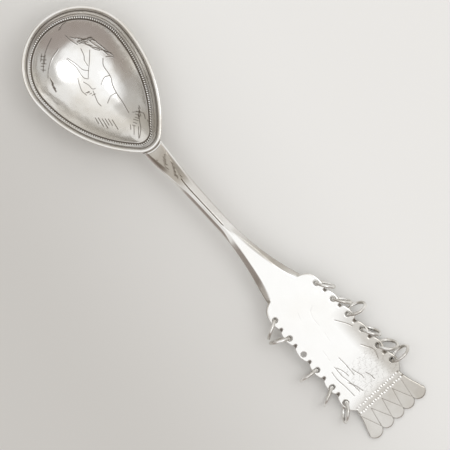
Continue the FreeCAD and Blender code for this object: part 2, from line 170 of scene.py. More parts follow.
def finish_piece(bm, name, body, finish, stands_for=()):
    """Turn a shape in millimetres into a named silver piece that rides on its body."""
    bmesh.ops.recalc_face_normals(bm, faces=bm.faces[:])
    bmesh.ops.scale(bm, vec=(MM, MM, MM), verts=bm.verts[:])
    mesh = bpy.data.meshes.new(name)
    bm.to_mesh(mesh)
    bm.free()
    mesh.polygons.foreach_set("use_smooth", [True] * len(mesh.polygons))
    mesh.materials.append(finish)
    piece = bpy.data.objects.new(name, mesh)
    bpy.context.scene.collection.objects.link(piece)
    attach(piece, body)
    if stands_for:
        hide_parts(*stands_for)
    return piece


# bowl

def egg_turns(count):
    """Directions straight out from the rim at even steps round it, starting at the heel."""
    side_turn = math.pi / 2 - SIDE_TURN
    corners = [-SIDE_TURN, SIDE_TURN, math.pi / 2, 1.5 * math.pi, 1.5 * math.pi + side_turn]
    radii = [HEEL_R, SIDE_R, TIP_R, SIDE_R]
    lengths = [r * (b - a) for r, a, b in zip(radii, corners, corners[1:])]
    places = np.concatenate(([0], np.cumsum(lengths)))
    return np.interp(np.arange(count) / count * places[-1], places, corners)


def egg(turn, share, inset):
    """Plan points of the bowl's section with that share of the rim, drawn in by inset."""
    across, along = np.sin(turn), np.cos(turn)
    on_heel = along > math.cos(SIDE_TURN) - 1e-9
    on_tip = along < 1e-9
    centre_x = np.where(on_heel, HEEL_X, TIP_X)
    centre_y = np.where(on_heel | on_tip, 0, -np.sign(across) * SIDE_Y)
    radius = np.where(on_heel, HEEL_R, np.where(on_tip, TIP_R, SIDE_R))
    reach = share * radius - inset
    return np.stack([share * centre_x + reach * along, share * centre_y + reach * across], -1)


def fall(share):
    return np.sqrt(ROUND_R**2 - (share * TIP_R) ** 2)


def outer_height(share):
    return np.maximum(0, fall(WORN_FLAT_R / TIP_R) - fall(share))


RIM_Z = float(outer_height(np.array(1.0)))


def outer_loop(turn, share):
    """A loop on the outside of the bowl."""
    plan = egg(turn, share, share * OVERHANG)
    return np.column_stack([plan, np.broadcast_to(outer_height(share), turn.shape)])


def inner_loop(turn, share, sink=0.0):
    """A loop on the inside of the bowl, or that far below it."""
    lean = share * TIP_R / ROUND_R
    wall = WALL - sink
    plan = egg(turn, share, share * OVERHANG + wall * lean)
    height = fall(WORN_FLAT_R / TIP_R) - fall(share) + wall * np.sqrt(1 - lean**2)
    return np.column_stack([plan, np.broadcast_to(height, turn.shape)])


def lip_loop(turn, rise):
    """A loop on the lip, at an angle above its outermost line. The lip is a round wire
    that wear has left a little flatter on top."""
    out, high = math.cos(rise), math.sin(rise)
    reach = LIP_R / (abs(out) ** 3 + abs(high) ** 3) ** (1 / 3) if high > 0 else LIP_R
    plan = egg(turn, 1.0, LIP_R - reach * out)
    return np.column_stack([plan, np.full(turn.shape, RIM_Z + reach * high)])


def share_at(turn, inset):
    """The inner section that lies that far in from the outline, seen from above."""
    rim = egg(turn, 1.0, 0.0)
    reach = rim[:, 0] * np.cos(turn) + rim[:, 1] * np.sin(turn)
    lean = TIP_R / ROUND_R
    return (reach - inset) / (reach - OVERHANG - WALL * lean)


def border_inset(turn):
    """Inset of the border's innermost line: the engraver ran it nearer the left rim."""
    return 3.63 + 0.78 * np.sin(turn)


def turned(points, angle):
    """Points turned about the bowl's low point, seen from above."""
    c, s = math.cos(angle), math.sin(angle)
    x, y, z = points.T
    return np.column_stack([c * x - s * y, s * x + c * y, z])


def raise_loops(loops):
    """A tube of loops: a circle, extruded once for every further loop. Each extrusion
    keeps the order of the loop that it came from, so the points fill in loop by loop."""
    count = len(loops[0])
    bm = bmesh.new()
    bmesh.ops.create_circle(bm, segments=count, radius=1.0, cap_ends=False)
    edges = bm.edges[:]
    for _ in loops[1:]:
        made = bmesh.ops.extrude_edge_only(bm, edges=edges)["geom"]
        edges = [g for g in made if isinstance(g, bmesh.types.BMEdge) and g.is_boundary]
    return bm


# Engraved lines in the bowl: a deer that looks back over its shoulder, and leaves.
BOWL_LINES = (
    ((-2.4, 6.3), (-0.6, 4.9), (3.0, 4.3), (5.4, 3.0), (8.1, 2.2), (11.4, 1.7), (15.0, 0.9)),
    ((-9.0, 3.4), (-6.9, 2.7), (-5.7, 1.8), (-3.9, 1.5)),
    ((-6.9, 5.1), (-4.8, 3.0), (-3.0, 1.0), (-1.8, -0.3), (-1.1, -0.9)),
    ((-9.6, -1.5), (-6.6, -0.8), (-4.2, -0.5), (-2.7, 0.6)),
    ((-9.6, -1.9), (-6.0, -1.5), (-3.3, -1.9), (-1.8, -1.8), (-0.9, -1.1)),
    ((-3.3, -3.3), (-1.5, -4.2), (0.6, -5.0), (2.4, -4.8)),
    ((-1.2, -2.8), (0.6, -2.3), (2.1, -2.3), (2.7, -1.5)),
    ((2.7, -2.5), (4.8, -3.3), (6.3, -3.8), (7.8, -3.8)),
    ((-9.0, 6.9), (-6.9, 7.3), (-4.8, 7.9), (-2.1, 8.1)),
    ((-8.4, 5.8), (-6.3, 6.3), (-4.8, 7.2)),
    ((-2.1, 7.2), (-1.2, 8.4), (-0.3, 9.0)),
    ((-15.0, 2.7), (-12.6, 2.9), (-10.5, 3.5)),
    ((-17.1, -0.9), (-15.9, -3.9), (-14.1, -6.9), (-11.4, -9.6)),
    ((-13.5, -1.5), (-12.6, -5.1), (-10.8, -8.1), (-9.0, -9.9)),
    ((-15.6, -6.3), (-14.1, -8.1)),
    ((-14.7, -5.7), (-12.9, -7.8)),
    ((15.6, 1.8), (16.8, 3.3), (18.3, 4.0), (19.8, 3.3)),
    ((17.4, 2.7), (19.2, 1.5), (21.0, 0.3), (22.8, -1.8)),
    ((18.9, -0.6), (20.1, -1.6), (21.0, -2.4)),
    ((20.1, 0.2), (21.6, -1.1), (22.8, -2.1)),
    ((18.0, -1.2), (19.2, -2.1)),
    ((2.7, 4.2), (2.1, 2.7), (3.0, 0.6)),
    ((7.8, 2.1), (7.5, 0.3), (8.4, -1.8)),
)


def hatching(start, end, count, stroke, sway=0.15):
    """Short parallel cuts between two points, each one a stroke long, slightly uneven."""
    cuts = []
    for n in range(count):
        share = n / max(1, count - 1)
        x = start[0] + share * (end[0] - start[0])
        y = start[1] + share * (end[1] - start[1])
        wobble = sway * math.sin(n * 2.3 + start[0])
        longer = 1 + 0.25 * math.sin(n * 1.7 + start[1])
        cuts.append([
            np.array([x + wobble, y]),
            np.array([x + wobble + stroke[0] * longer, y + stroke[1] * longer]),
        ])
    return cuts


def bowl_hatching():
    """Leaves and ground as rows of short cuts: start, end, number and stroke of each row."""
    rows = (
        ((-10.4, 4.6), (-2.6, 8.6), 13, (0.9, 0.7)), ((-11.2, 3.9), (-9.4, 7.4), 7, (1.1, 0.5)),
        ((-8.7, -9.4), (-6.2, -10.6), 5, (2.0, -0.3)), ((9.2, -7.5), (13.0, -4.2), 6, (2.8, -0.5)),
        ((-13.6, 3.4), (-11.2, 5.6), 5, (0.9, 0.5)), ((-15.2, -7.0), (-12.2, -9.6), 5, (0.9, 0.9)),
        ((16.2, 2.8), (18.4, -0.8), 6, (1.1, 0.6)), ((19.4, 4.9), (20.6, 3.6), 3, (0.9, -0.4)),
        ((-11.4, 4.0), (-9.6, 7.6), 9, (0.5, 0.9)), ((-9.2, 7.9), (-2.2, 8.9), 9, (1.2, 0.3)),
        ((15.4, 4.6), (17.6, 2.4), 5, (1.3, -0.5)), ((-17.6, 2.2), (-17.9, 4.6), 4, (0.1, 0.9)),
        ((1.5, -4.6), (3.4, -3.6), 4, (0.3, 0.9)),
    )
    return [cut for row in rows for cut in hatching(*row)]


BOWL_COLUMNS, FLOOR_ROWS = 576, 112
COVE_INSETS = (1.12, 1.22, 1.32, 1.4)
BED_START, BED_SINK, BED_ROWS = 1.5, 0.3, 7
BOWL_CUT, DRAWN_SHARE = 0.05, 0.8
DRAWN_HALF, HATCHED_HALF = 0.2, 0.17
COVE_DARK, GREY_LIP, GREY_LIP_ROWS = 0.42, 0.42, 9


def make_bowl(finish):
    """The wall, its round lip and the engraved floor, as one tube of egg-shaped loops
    from the outside's low point, up over the lip and down inside."""
    turn = egg_turns(BOWL_COLUMNS)
    border = border_inset(turn)
    shares = [*np.linspace(0.02, 0.15, 3), *np.linspace(0.16, 0.983, 22)]
    loops = [outer_loop(turn, share) for share in shares]
    loops += [lip_loop(turn, math.radians(rise)) for rise in np.linspace(-82, 198, 26)]
    cove_start = len(loops) * BOWL_COLUMNS
    # plain cove, then the bed of the border band and its inner edge, then the floor
    insets = [(inset, 0.0) for inset in COVE_INSETS]
    for along in np.linspace(0, 1, BED_ROWS):
        insets.append((BED_START + along * (border + 0.04 - BED_START), BED_SINK))
    insets += [(border + 0.05, 0.04), (border + 0.06, 0.02)]
    loops += [inner_loop(turn, share_at(turn, inset), sink) for inset, sink in insets]
    floor_start = len(loops) * BOWL_COLUMNS
    last = share_at(turn, border + 0.12)
    loops += [inner_loop(turn, last * share) for share in np.linspace(1, 0.03, FLOOR_ROWS)]
    bm = raise_loops(loops)
    points = turned(np.concatenate(loops), BOWL_TURN)
    near = np.zeros(len(points))
    floor_points = points[floor_start:, :2]
    drawn = nearness(floor_points, [curved(line) for line in BOWL_LINES], DRAWN_HALF)
    hatched = nearness(floor_points, bowl_hatching(), HATCHED_HALF)
    near[floor_start:] = np.maximum(DRAWN_SHARE * drawn, hatched)
    points[:, 2] -= BOWL_CUT * near
    write_points(bm, points)
    # the cove and the border's bed are dark with tarnish
    near[cove_start:floor_start] = COVE_DARK
    write_marks(bm, "cut", near)
    # greyer the higher the loop stands, inside the bowl and out
    grey = np.clip(points[:, 2] / RIM_Z, 0, 1) * 0.16 + 0.04
    # the lip's inner side is made greyer than its top and outside
    grey[cove_start - GREY_LIP_ROWS * BOWL_COLUMNS:cove_start] += GREY_LIP
    write_marks(bm, "grey_and_shade", grey)
    bmesh.ops.holes_fill(bm, edges=[e for e in bm.edges if e.is_boundary])
    return finish_piece(bm, "bowl_engraved", "spoon", finish, ["bowl"])


BORDER_START = 1.4
BEADS, COLUMNS_PER_BEAD = 168, 7
BEAD_MIDDLE, BEAD_HALF = -0.74, 0.38
BEAD_BED, BEAD_HEIGHT = -0.08, 0.16

# Rows across the border from the lip inwards: share of the way to the innermost line, an
# offset from there in millimetres, the rise above the wall, and how dark the row is. In
# the rows across the beads, both come from the beads.
BORDER_ROWS = (
    (0, -0.04, -0.34, 1.0), (0, 0.0, -0.06, 1.0), (0, 0.12, -0.06, 0.9), (0, 0.2, 0.05, 0.32),
    (0, 0.3, 0.05, 0.26), (0, 0.38, -0.04, 0.6), (0, 0.48, 0.0, 0.3),
    (0.34, 0, 0.0, 0.26), (0.37, 0, -0.06, 0.65), (0.41, 0, 0.03, 0.28),
    (0.54, 0, 0.02, 0.28), (0.57, 0, -0.06, 0.65), (0.61, 0, 0.0, 0.3),
    (1, -1.22, 0.0, 0.3), (1, -1.16, -0.08, 0.8),
    *((1, offset, 0, 0) for offset in (-1.11, -1.02, -0.92, -0.81, -0.69, -0.57, -0.47, -0.38)),
    (1, -0.35, -0.1, 1.0), (1, -0.2, -0.12, 1.0), (1, -0.08, -0.1, 1.0), (1, -0.01, -0.05, 0.5),
    (1, 0.03, -0.04, 0.2), (1, 0.035, -0.05, 0.2), (1, 0.04, -0.34, 0.6),
)


def make_border(finish):
    """The border under the lip: plain turned lines, a row of milled beads and a deep
    line inside it, cut as one fine band that is let into the wall."""
    turn = egg_turns(BEADS * COLUMNS_PER_BEAD)
    count = len(turn)
    along = np.arange(count) / COLUMNS_PER_BEAD
    bead = np.sqrt(0.5 - 0.5 * np.cos(along * 2 * math.pi))
    innermost = border_inset(turn)
    bead_line = inner_loop(turn, share_at(turn, innermost + BEAD_MIDDLE))
    loops, marks = [], []
    for share, offset, rise, dark in BORDER_ROWS:
        place = share_at(turn, BORDER_START + share * (innermost - BORDER_START) + offset)
        loop = inner_loop(turn, place)
        lift, mark = np.full(count, rise), np.full(count, dark)
        off_middle = (offset - BEAD_MIDDLE) / BEAD_HALF
        if share == 1 and abs(off_middle) < 1:
            crown = np.clip(2.4 * (bead * math.sqrt(1 - off_middle**2) - 0.42), 0, 1)
            lift, mark = BEAD_BED + BEAD_HEIGHT * crown * (2 - crown), 1 - crown
            # the beads stand nearly level on the sloping wall
            loop[:, 2] = 0.25 * loop[:, 2] + 0.75 * bead_line[:, 2]
        lean = place * TIP_R / ROUND_R
        out = np.column_stack([np.cos(turn) * -lean, np.sin(turn) * -lean, np.sqrt(1 - lean**2)])
        loops.append(loop + out * lift[:, None])
        marks.append(mark)
    bm = raise_loops(loops)
    write_points(bm, turned(np.concatenate(loops), BOWL_TURN))
    write_marks(bm, "cut", np.concatenate(marks))
    return finish_piece(bm, "bowl_border", "spoon", finish)


# handle

def lobe_arcs():
    """The right side of the blade as arcs: (from, to, centre x, centre y, radius)."""
    notches = [
        (BLADE_START + place * BLADE_LENGTH, width * HALF_BLADE)
        for place, width in zip(NOTCH_PLACES, NOTCH_WIDTHS)
    ]
    arcs = []
    for n, (first, last) in enumerate(zip(notches, notches[1:])):
        crown = (BLADE_START + HOLE_PLACES[n] * BLADE_LENGTH, LOBE_WIDTHS[n] * HALF_BLADE)
        if n == 0:
            # the first lobe begins with the blade's tighter shoulder
            run, rise = last[0] - first[0], crown[1] - first[1]
            middle = (first[0] + 0.1 * run, first[1] + 0.6 * rise)
            shoulder = (first[0] + 0.4 * run, first[1] + 0.955 * rise)
            arcs.append((first[0], shoulder[0], *circle_through(first, middle, shoulder)))
            first = shoulder
            crown = ((first[0] + last[0]) / 2, crown[1])
        arcs.append((first[0], last[0], *circle_through(first, crown, last)))
    base = notches[-1]
    broadest = (base[0] + 0.74 * (TAIL - base[0]), 1.0137 * HALF_BLADE)
    drawn = ((base[0] + broadest[0]) / 2, base[1] + 0.35 * (broadest[1] - base[1]))
    arcs.append((base[0], broadest[0], *circle_through(base, drawn, broadest)))
    outer_notch = (TAIL - 0.46 * TOOTH, 1.5 * TOOTH)
    crown = (TAIL, (broadest[1] + outer_notch[1]) / 2)
    last_tooth = circle_through(broadest, crown, outer_notch)
    arcs.append((broadest[0], max(broadest[0], last_tooth[0]), *last_tooth))
    return arcs, last_tooth


LOBES, LAST_TOOTH = lobe_arcs()
# where the comb's straight crosswise rows would end, and its half width there
CORNER = (LOBES[-1][1], LAST_TOOTH[1] + LAST_TOOTH[2])
TONGUE_END, NECK_HALF, STEM_HALF = HEEL - 6.0, 3.4, 1.9
WAIST = (HEEL + 25.6, HEEL + 31.1)
SPUR, SPUR_HALF = HEEL + 57.5, 6.45


def half_width(x):
    """Half the handle's width at a place along it."""
    if x < TONGUE_END + NECK_HALF:
        return math.sqrt(max(0.02, NECK_HALF**2 - (TONGUE_END + NECK_HALF - x) ** 2))
    if x < HEEL:
        return NECK_HALF
    if x < SPUR:
        # one hollow arc from the neck to the waist, and one from there to the spur
        rise, run, from_waist = NECK_HALF - STEM_HALF, WAIST[0] - HEEL, WAIST[0] - x
        if from_waist < 0:
            rise, run = SPUR_HALF - STEM_HALF, SPUR - WAIST[1]
            from_waist = max(0, x - WAIST[1])
        radius = (run**2 + rise**2) / (2 * rise)
        return STEM_HALF + radius - math.sqrt(radius**2 - from_waist**2)
    if x < BLADE_START:
        return SPUR_HALF
    for start, end, centre_x, centre_y, radius in LOBES:
        if x <= end + 1e-9:
            # the comb's sides are drawn in, so their arc's centre lies outside
            side = -1 if centre_y > HALF_BLADE else 1
            arc = centre_y + side * math.sqrt(max(0, radius**2 - (x - centre_x) ** 2))
            return max(SPUR_HALF, arc)
    return CORNER[1]


def comb_end(y):
    """Where the rounded teeth end, at a distance from the centre line."""
    y = np.abs(y)
    tooth_r = ((TOOTH / 2) ** 2 + (0.46 * TOOTH) ** 2) / (2 * 0.46 * TOOTH)
    beside = (y + TOOTH / 2) % TOOTH - TOOTH / 2
    inner = TAIL - tooth_r + np.sqrt(np.maximum(0, tooth_r**2 - beside**2))
    x, middle, radius = LAST_TOOTH
    outer = x + np.sqrt(np.maximum(0, radius**2 - (y - middle) ** 2))
    return np.where(y < 1.5 * TOOTH, inner, outer)


def top_arc(x):
    return ARC_Z + np.sqrt(ARC_R**2 - (x - ARC_X) ** 2)


# The stem's facets: place as a share of the way from heel to spur; the flat's half
# widths left and right and where the facets beside it end, as shares of the half width;
# how much of a ridge the flat is, and how steep the sides beyond the facets are.
FACETS = np.array([
    (-0.10, 0.72, 0.72, 0.97, 0.97, 0.0, 0.0),
    (0.02, 0.70, 0.70, 0.95, 0.95, 0.0, 0.1),
    (0.12, 0.50, 0.50, 0.90, 0.85, 0.2, 0.4),
    (0.22, 0.12, 0.12, 0.80, 0.70, 0.9, 0.9),
    (0.34, 0.03, 0.03, 0.62, 0.86, 1.0, 0.6),
    (0.56, 0.03, 0.03, 0.62, 0.86, 1.0, 0.6),
    (0.66, 0.52, 0.50, 0.94, 0.92, 0.3, 0.2),
    (0.76, 0.66, 0.62, 0.98, 0.96, 0.0, 0.0),
    (0.92, 0.70, 0.66, 0.98, 0.98, 0.0, 0.0),
    (1.04, 0.76, 0.76, 0.98, 0.98, 0.0, 0.0),
])
# how far to the left the stem's ridge runs
RIDGE_SHIFT = 0.62
# Left and right: how deep the stem's facet falls, the side beyond it, and the slope of
# the bevel on the flare. The left facet is nearly level, the right one falls away from
# a narrow filed step.
DROPS, SIDES, BEVELS = (0.12, 0.95), (0.5, 0.3), (0.58, 0.47)
STEP_WIDTH, STEP_DROP = 0.26, 0.1


def facet_lines(x, half):
    """Across one section: where the facets begin and end, and how deep they are there."""
    share = (x - HEEL) / (SPUR - HEEL)
    read = [float(smooth_through(share, FACETS[:, 0], column)) for column in FACETS.T[1:]]
    left_flat, right_flat, *ends, ridged, steep = read
    ridge = -ridged * RIDGE_SHIFT
    fade = 1 if x < SPUR else max(0.0, (BLADE_START - x) / (BLADE_START - SPUR))
    start = fade * min(1.0, max(0.0, (x - HEEL + 1) / 2))
    places = (
        ridge - left_flat * (half + ridge), -ends[0] * (half + float(bulge(x))),
        ridge + right_flat * (half - ridge), ends[1] * half,
    )
    widths = (places[0] - places[1], places[3] - places[2])
    shallow, deep = [], []
    for end, width, drop, side, slope in zip(ends, widths, DROPS, SIDES, BEVELS):
        bevel = min(slope * width, 0.8 * float(thickness(x)))
        shallow.append((bevel + ridged * (drop - bevel)) * start)
        deep.append(shallow[-1] + (steep * side + (1 - end) * slope * half) * fade)
    return places, shallow, deep, ridged * STEP_DROP * fade


def bulge(x):
    """How far the left bevel of stem and flare stands out beyond the even outline."""
    places = (LIP_END, LIP_END + 3, 44.0, 60.0, SPUR - 4, SPUR)
    return smooth_through(x, places, (0.0, 0.35, 0.45, 0.5, 0.45, 0.0))


def thickness(x):
    """Thickness of the handle on its centre line, from the neck to the comb."""
    places = (20.0, 27.4, 30.8, 38.0, 53.0, 62.0, 72.0, 85.6, 90.0, 140.0)
    return smooth_through(x, places, (1.45, 1.5, 1.62, 2.1, 2.6, 2.45, 1.75, 0.8, 0.8, 0.8))


# how far in from the edge the outermost lines of the mesh run, and how far before the
# teeth's ends the last crosswise lines begin
EDGE_STEPS = (0.24, 0.13, 0.05, 0.0)
TEETH_RUN = 2.6


def column_places(x, half):
    """Y of every lengthwise line of the handle's mesh at one place along it. The lines
    follow the facets on the stem, and run to the notches between the teeth on the comb."""
    left_flat, left_end, right_flat, right_end = facet_lines(x, half)[0]
    narrow = min(1, half / 3)
    halves = (half + float(bulge(x)), half)
    on_stem = np.array([
        max(left_end, 0.3 * narrow - halves[0]), left_flat,
        right_flat, min(right_end, halves[1] - 0.3 * narrow),
    ])
    on_comb = np.array([-1.5, -0.5, 0.5, 1.5]) * TOOTH * half / CORNER[1]
    blend = np.clip((x - SPUR + 2.5) / 5.0, 0, 1)
    inner = on_stem + (on_comb - on_stem) * blend
    outer = [
        np.concatenate([
            np.linspace(abs(inner[n]), reach - EDGE_STEPS[0] * narrow, 19),
            [reach - step * narrow for step in EDGE_STEPS[1:]],
        ])
        for n, reach in zip((0, 3), halves)
    ]
    return np.concatenate([
        -outer[0][::-1],
        np.linspace(inner[0], inner[1], 21)[1:],
        np.linspace(inner[1], inner[2], 21)[1:],
        np.linspace(inner[2], inner[3], 21)[1:],
        outer[1][1:],
    ])


def row_places():
    """Places of the crosswise lines, from the tongue's end to where the teeth begin."""
    stops = [
        (TONGUE_END + 0.02, LIP_END - 0.65, 0.35), (LIP_END - 0.6, LIP_END + 1.2, 0.12),
        (LIP_END + 1.2, 34.0, 0.3), (34.0, SPUR, 0.55), (SPUR, BLADE_START, 0.12),
    ]
    edges = sorted({arc[0] for arc in LOBES[:-1]})
    stops += [(a, b, 0.2) for a, b in zip(edges, edges[1:])]
    stops.append((edges[-1], 134.0, 0.2))
    rows = []
    for start, end, step in stops:
        rows += list(np.linspace(start, end, max(2, math.ceil((end - start) / step) + 1)))
    return sorted(set(round(x, 4) for x in rows))


# Engraved lines on the blade: two low arches and a few reeds.
BLADE_LINES = (
    ((102.6, 3.9), (104.1, 4.9), (105.9, 6.0), (107.7, 6.7)),
    ((113.4, 4.8), (115.2, 5.8), (117.0, 6.6), (118.8, 6.3), (120.3, 5.7)),
    ((111.9, -2.8), (114.9, -2.7), (118.8, -2.9)),
    ((117.0, -2.2), (119.1, -1.7), (120.3, -1.3), (121.5, -1.4)),
    ((113.7, -5.4), (115.5, -4.7), (117.9, -4.3)),
    ((113.1, -5.7), (116.7, -5.8), (120.0, -5.3), (123.6, -5.1)),
    ((113.7, -7.3), (116.4, -7.6), (119.4, -7.3), (123.6, -7.1)),
    ((119.4, -5.9), (121.8, -4.7), (124.2, -4.2)),
    ((120.6, 0.2), (122.1, 0.7), (123.9, 0.8)),
)


# Lines from each notch between the teeth to an apex on either side of it.
APEXES = (7.4, 3.6, -0.7, -5.1, -8.85)
APEX_X, CUTS_END = 129.7, 135.9


def comb_cuts():
    notches = [n * TOOTH for n in (1.5, 0.5, -0.5, -1.5)]
    return [
        [np.array([APEX_X, apex + SIDE_SHIFT]), np.array([CUTS_END, notch + SIDE_SHIFT])]
        for notch, *pair in zip(notches, APEXES, APEXES[1:]) for apex in pair
    ]


# The two rows of punched beads: place along the handle, and both ends of the row.
BEAD_ROWS = ((127.0, -9.4, 7.4), (128.8, -10.0, 8.0))
BEAD_PITCH, OUT_OF_LINE, BEAD_STROKE = 0.84, 0.12, (0.16, 0.04)


def row_beds():
    return [[np.array([x, low]), np.array([x, high])] for x, low, high in BEAD_ROWS]


def row_beads():
    """The beads, each one punched a little out of line."""
    beads = []
    for x, low, high in BEAD_ROWS:
        for n in range(int((high - low) / BEAD_PITCH)):
            aside = OUT_OF_LINE * math.sin(n * 1.9 + x)
            middle = np.array([x + aside, low + n * BEAD_PITCH])
            beads.append([middle, middle + BEAD_STROKE])
    return beads


# Lines that polishing has nearly worn away.
WORN_LINES = (
    ((95.4, 0.6), (97.8, -0.4), (100.8, -0.5)),
    ((103.2, -0.8), (106.2, -1.3)),
    ((93.6, -2.7), (96.0, -3.6)),
    ((94.8, 2.1), (95.7, 0.6)),
    ((106.8, -4.8), (110.7, -5.4)),
)


def scribble():
    """Short worn scratches in all directions between the blade's drawing and the comb."""
    strokes = []
    for n in range(150):
        x = 115.5 + 10.8 * ((n * 0.618) % 1)
        y = -5.5 + 14.5 * ((n * 0.755) % 1)
        turn = 2.4 * math.sin(n * 1.7) + 0.4
        reach = 0.5 + 0.7 * ((n * 0.37) % 1)
        step = np.array([math.cos(turn), math.sin(turn)]) * reach
        strokes.append([np.array([x, y]) - step, np.array([x, y]) + step])
    return strokes


def filed_notches():
    """The three-cornered nicks that the file left on top, between one lobe and the next; their dark
    is painted shade.
    """
    nicks = []
    for place, width in zip(NOTCH_PLACES[1:-1], NOTCH_WIDTHS[1:-1]):
        x, half = BLADE_START + place * BLADE_LENGTH, width * HALF_BLADE
        for side in (1, -1):
            ends = (side * (half + 0.3), side * (half - 0.35))
            nicks.append([np.array([x, end + SIDE_SHIFT]) for end in ends])
    return nicks


def neck_pits():
    """Small uneven pits that hold tarnish where the neck runs into the stem."""
    pits = []
    for n in range(34):
        x = 31.2 + 8.6 * ((n * 0.618) % 1)
        y = -0.9 + (1.7 - 0.12 * (x - 31.2)) * (2 * ((n * 0.755) % 1) - 1)
        pits.append([np.array([x, y]), np.array([x + 0.5, y + 0.25 * math.sin(n * 2.1)])])
    return pits


def filed_step():
    """The middle of the filed step beside the stem's ridge, which stays dark."""
    return [
        np.array([x, facet_lines(x, half_width(x))[0][2] + STEP_WIDTH / 2 + SIDE_SHIFT])
        for x in np.linspace(40.5, 59.0, 24)
    ]


def rise_from(value, start, run):
    """0 up to the start, then evenly up to 1 at the end of the run."""
    return np.clip((value - start) / run, 0, 1)


def grey_and_shade(x, y, gap):
    """How grey the silver is made, at places along and across the handle and that far
    from its edge: on the neck and the right half of the stem, on the bevels, along the
    blade's right edge and on the comb. On the bevels this grey is painted shade for their
    darker reflections; on the neck and the comb it is partly tarnish and partly painted shade."""
    # on the neck the grey is partly tarnish and partly painted shade
    neck = smooth_through(x, (20, 27, 38, 46, 54), (1, 1, 1.1, 0.4, 0)) * rise_from(gap, 0.35, 0.5)
    stem = smooth_through(x, (34, 44, 58, 64), (0, 0.5, 0.5, 0)) * (y > -1.2)
    left = smooth_through(x, (42, 48, 76, 82, 87, 90), (0, 0.4, 0.5, 0.9, 0.9, 0))
    right = smooth_through(x, (56, 64, 87, 90), (0, 0.45, 0.6, 0))
    reach = smooth_through(x, (83, 87), (1.9, 0.8))
    # painted shade: the bevels are greyed to stand for the darker reflections of their tilted faces
    bevels = np.where(y < SIDE_SHIFT, left, right) * rise_from(-gap, -reach, 0.5)
    right_edge = 0.7 * rise_from(y, 3.0, 3.5) * rise_from(x, 100, 8)
    before_comb = 0.2 * rise_from(x, 113, 8) * rise_from(y, -6, 6)
    # on the comb the grey is partly tarnish and partly painted shade
    comb = 0.62 * rise_from(x, 124, 4)
    return np.maximum.reduce([neck, stem, bevels, right_edge, before_comb, comb])


def lip_line(y):
    """How far along the spoon the lip's inner edge lies, beside the handle's middle."""
    return HEEL_X + np.sqrt(np.maximum(0, (HEEL_R - LIP_R) ** 2 - y**2))


def handle_plan():
    """The handle as a flat grid, one crosswise row after another: its points, how far
    each one is from the edge, and how deep the facets lie there."""
    plan, gaps, drops = [], [], []
    rows = row_places()
    for x in rows:
        half = half_width(x)
        y = column_places(x, half)
        wider = float(bulge(x))
        places, shallow, deep, step = facet_lines(x, half)
        left, left_end, right, right_end = places
        across = (-half - wider, left_end, left, right, right + STEP_WIDTH, right_end, half)
        depths = (deep[0], shallow[0], 0, 0, step + 0.15 * shallow[1], shallow[1], deep[1])
        # near the bowl the crosswise lines follow the lip
        follow = rise_from(-x, -LIP_END + LIP_R - 4, 4) * rise_from(x, TONGUE_END, 4)
        bow = lip_line(np.abs(y) + 0.3) - lip_line(0.3)
        plan.append(np.column_stack([x + follow * bow, y]))
        gaps.append(half - np.abs(y) + np.where(y < 0, wider, 0))
        drops.append(np.interp(y, across, depths))
    start = rows[-1]
    inner, *outer = [1 - step / TEETH_RUN for step in EDGE_STEPS]
    for share in (*np.linspace(0, inner, 20)[1:], *outer):
        nominal = start + share * (CORNER[0] - start)
        half = half_width(nominal)
        y = column_places(nominal, half)
        plan.append(np.column_stack([start + share * (comb_end(y) - start), y]))
        gaps.append(np.minimum(half - np.abs(y), (1 - share) * TEETH_RUN))
        drops.append(np.zeros(len(y)))
    return plan, gaps, drops


def drill_holes(bm):
    """Cut the twelve ring holes in the flat sheet and draw their edges to true circles."""
    layer = bm.verts.layers.float.new("hole_rim")
    centres = [
        Vector((BLADE_START + place * BLADE_LENGTH, side * (width * HALF_BLADE - HOLE_FROM_EDGE), 0))
        for place, width in zip(HOLE_PLACES, LOBE_WIDTHS)
        for side in (-1, 1)
    ]
    gone = []
    for face in bm.faces:
        middle = face.calc_center_median()
        if middle.x > BLADE_START and any((middle - c).length < HOLE_R for c in centres):
            gone.append(face)
    bmesh.ops.delete(bm, geom=gone, context="FACES")
    for vert in bm.verts:
        if not vert.is_boundary:
            continue
        for centre in centres:
            away = vert.co - centre
            if away.length < HOLE_R * 1.35:
                vert.co = centre + away.normalized() * HOLE_R
                vert[layer] = 1.0


def tent(value, middle, half):
    """1 at the middle, falling evenly to 0 at half the width from it."""
    return np.clip(1 - np.abs(value - middle) / half, 0, 1)


# the worn edge's radius, and how deep or high the marks on the handle's top are
EDGE_R, CUT, RIM_CUT, NICK_CUT, BEAD_RISE, FILLET_RISE = 0.28, 0.07, 0.05, 0.35, 0.06, 0.14


